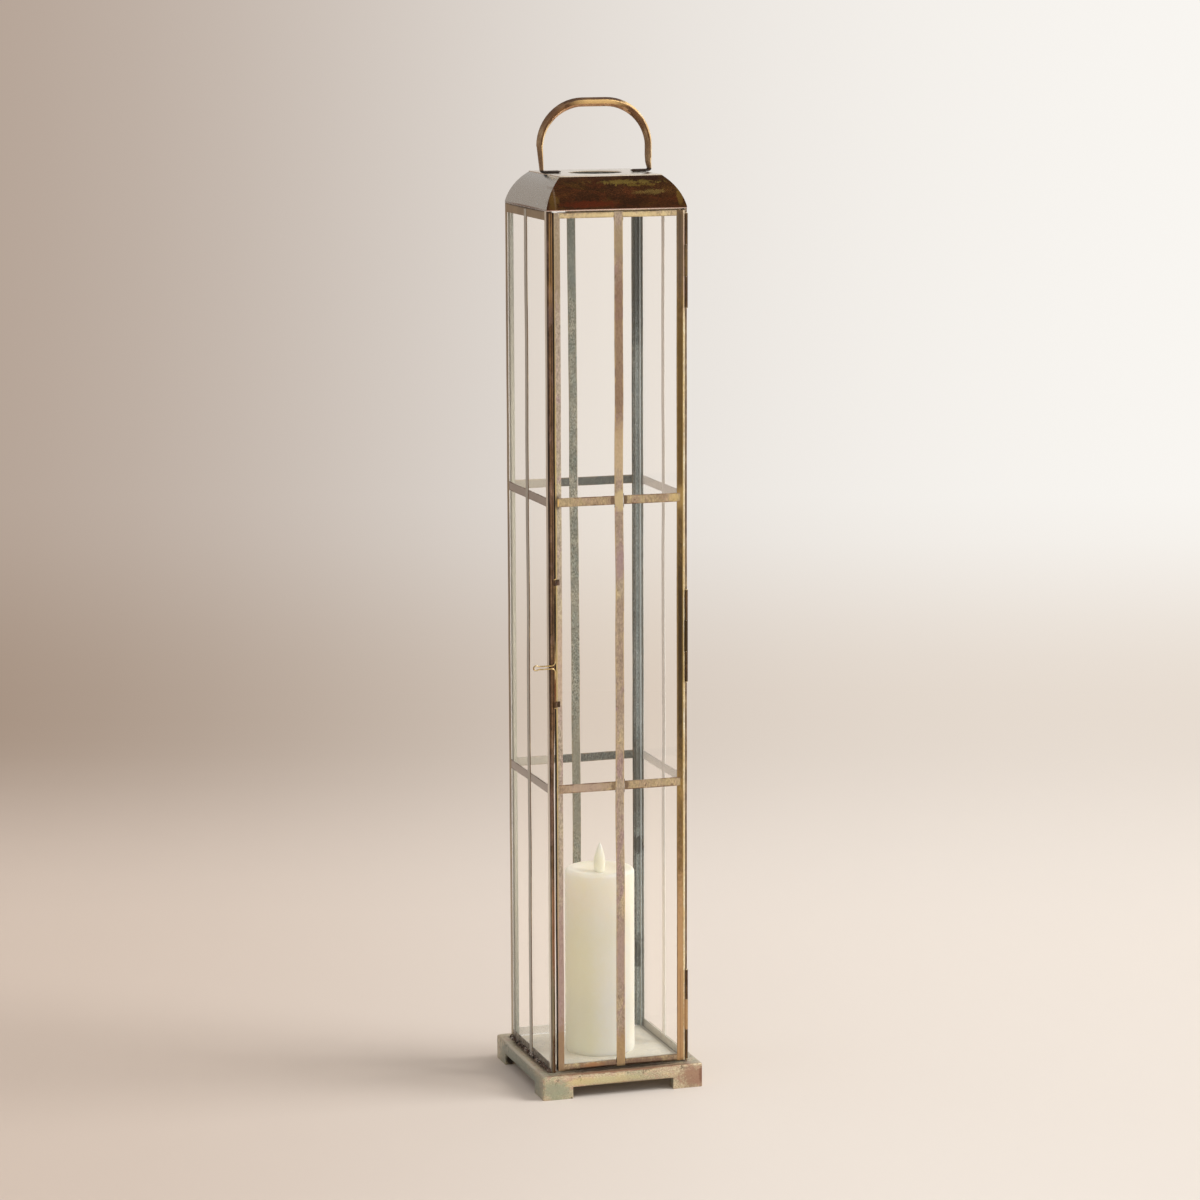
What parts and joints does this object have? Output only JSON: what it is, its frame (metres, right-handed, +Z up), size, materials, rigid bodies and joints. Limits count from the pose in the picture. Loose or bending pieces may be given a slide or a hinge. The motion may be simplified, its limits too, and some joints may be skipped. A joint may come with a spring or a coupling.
{
  "type": "floor lantern",
  "caption": "Tall slim glazed metal lantern on a footed plinth, with a hinged glass door, a coved vented roof, a bail handle and a flameless pillar candle, for standing light",
  "frame": {"origin": "Middle of the plinth's underside, on the floor", "axes": "+Z up, +X to the right along the door, seen from in front of it, +Y to the back"},
  "size_m": [0.1832, 0.178, 1.0504],
  "materials": {
    "plinth_metal": "aged brass, olive and verdigris patches, copper edges",
    "frame_metal": "aged brass, brown outside and grey-green inside",
    "door_metal": "aged brass, tan with mauve and gold patches",
    "roof_metal": "aged brass, dark brown with olive and copper patches",
    "crown_metal": "aged brass, worn bright",
    "handle_metal": "aged brass, brown with gold where it is rubbed",
    "hinge_metal": "aged brass, brown",
    "latch_metal": "bright brass wire",
    "clear_glass": "clear, polished",
    "wax": "ivory wax, satin",
    "tray_plastic": "ivory moulded plastic",
    "cell_jacket": "plain dark jacket, unmarked",
    "contact_metal": "nickel-plated strip",
    "lead_plastic": "insulated wire",
    "led_plastic": "clear epoxy",
    "flame_plastic": "translucent pale plastic",
    "switch_plastic": "black moulded plastic"
  },
  "bodies": {
    "lantern": {"plinth_top": "plinth_metal", "plinth_skirt_front": "plinth_metal", "plinth_skirt_back": "plinth_metal", "plinth_skirt_left": "plinth_metal", "plinth_skirt_right": "plinth_metal", "floor_pan": "frame_metal", "post_front_left": "frame_metal", "post_front_right": "frame_metal", "post_back_left": "frame_metal", "post_back_right": "frame_metal", "bottom_rail_left": "frame_metal", "bottom_rail_right": "frame_metal", "bottom_rail_back": "frame_metal", "top_rail_left": "frame_metal", "top_rail_right": "frame_metal", "top_rail_back": "frame_metal", "door_head_stop": "frame_metal", "glass_left": "clear_glass", "glass_right": "clear_glass", "glass_back": "clear_glass", "muntin_left": "frame_metal", "muntin_right": "frame_metal", "muntin_back": "frame_metal", "crossbars_left": "frame_metal", "crossbars_right": "frame_metal", "crossbars_back": "frame_metal", "glass_angles_back": "frame_metal", "glass_angles_front": "frame_metal", "roof_front": "roof_metal", "roof_back": "roof_metal", "roof_left": "roof_metal", "roof_right": "roof_metal", "crown_plate": "crown_metal", "handle": "handle_metal", "hinge_post_leaves": "hinge_metal", "hinge_pins": "hinge_metal"},
    "door": {"door_stile_latch": "door_metal", "door_stile_hinge": "door_metal", "door_rail_top": "door_metal", "door_rail_bottom": "door_metal", "door_glass": "clear_glass", "door_muntin": "door_metal", "door_crossbars": "door_metal", "door_glass_beads": "frame_metal", "hinge_door_leaves": "hinge_metal", "latch_eyes": "hinge_metal"},
    "latch": {"latch_wire": "latch_metal"},
    "candle": {"candle_wax": "wax", "candle_tray": "tray_plastic", "candle_battery_lid": "tray_plastic", "candle_cells": "cell_jacket", "candle_contacts": "contact_metal", "candle_leads": "lead_plastic", "candle_led": "led_plastic", "candle_flame": "flame_plastic"},
    "candle_switch": {"candle_switch": "switch_plastic"}
  },
  "joints": [
    {"name": "door_hinge", "type": "hinge", "parent": "lantern", "child": "door", "pos_m": [0.07475, -0.0776, 0.4805], "axis": [0, 0, 1], "range_deg": [0, 180]},
    {"name": "latch_turn", "type": "hinge", "parent": "door", "child": "latch", "pos_m": [-0.06995, -0.0778, 0.4885], "axis": [0, 0, 1], "range_deg": [0, 150]},
    {"name": "candle_lift", "type": "slide", "parent": "lantern", "child": "candle", "axis": [0, 0, 1], "range_m": [0, 0.04]},
    {"name": "candle_switch_slide", "type": "slide", "parent": "candle", "child": "candle_switch", "axis": [1, 0, 0], "range_m": [0, 0.004]}
  ]
}
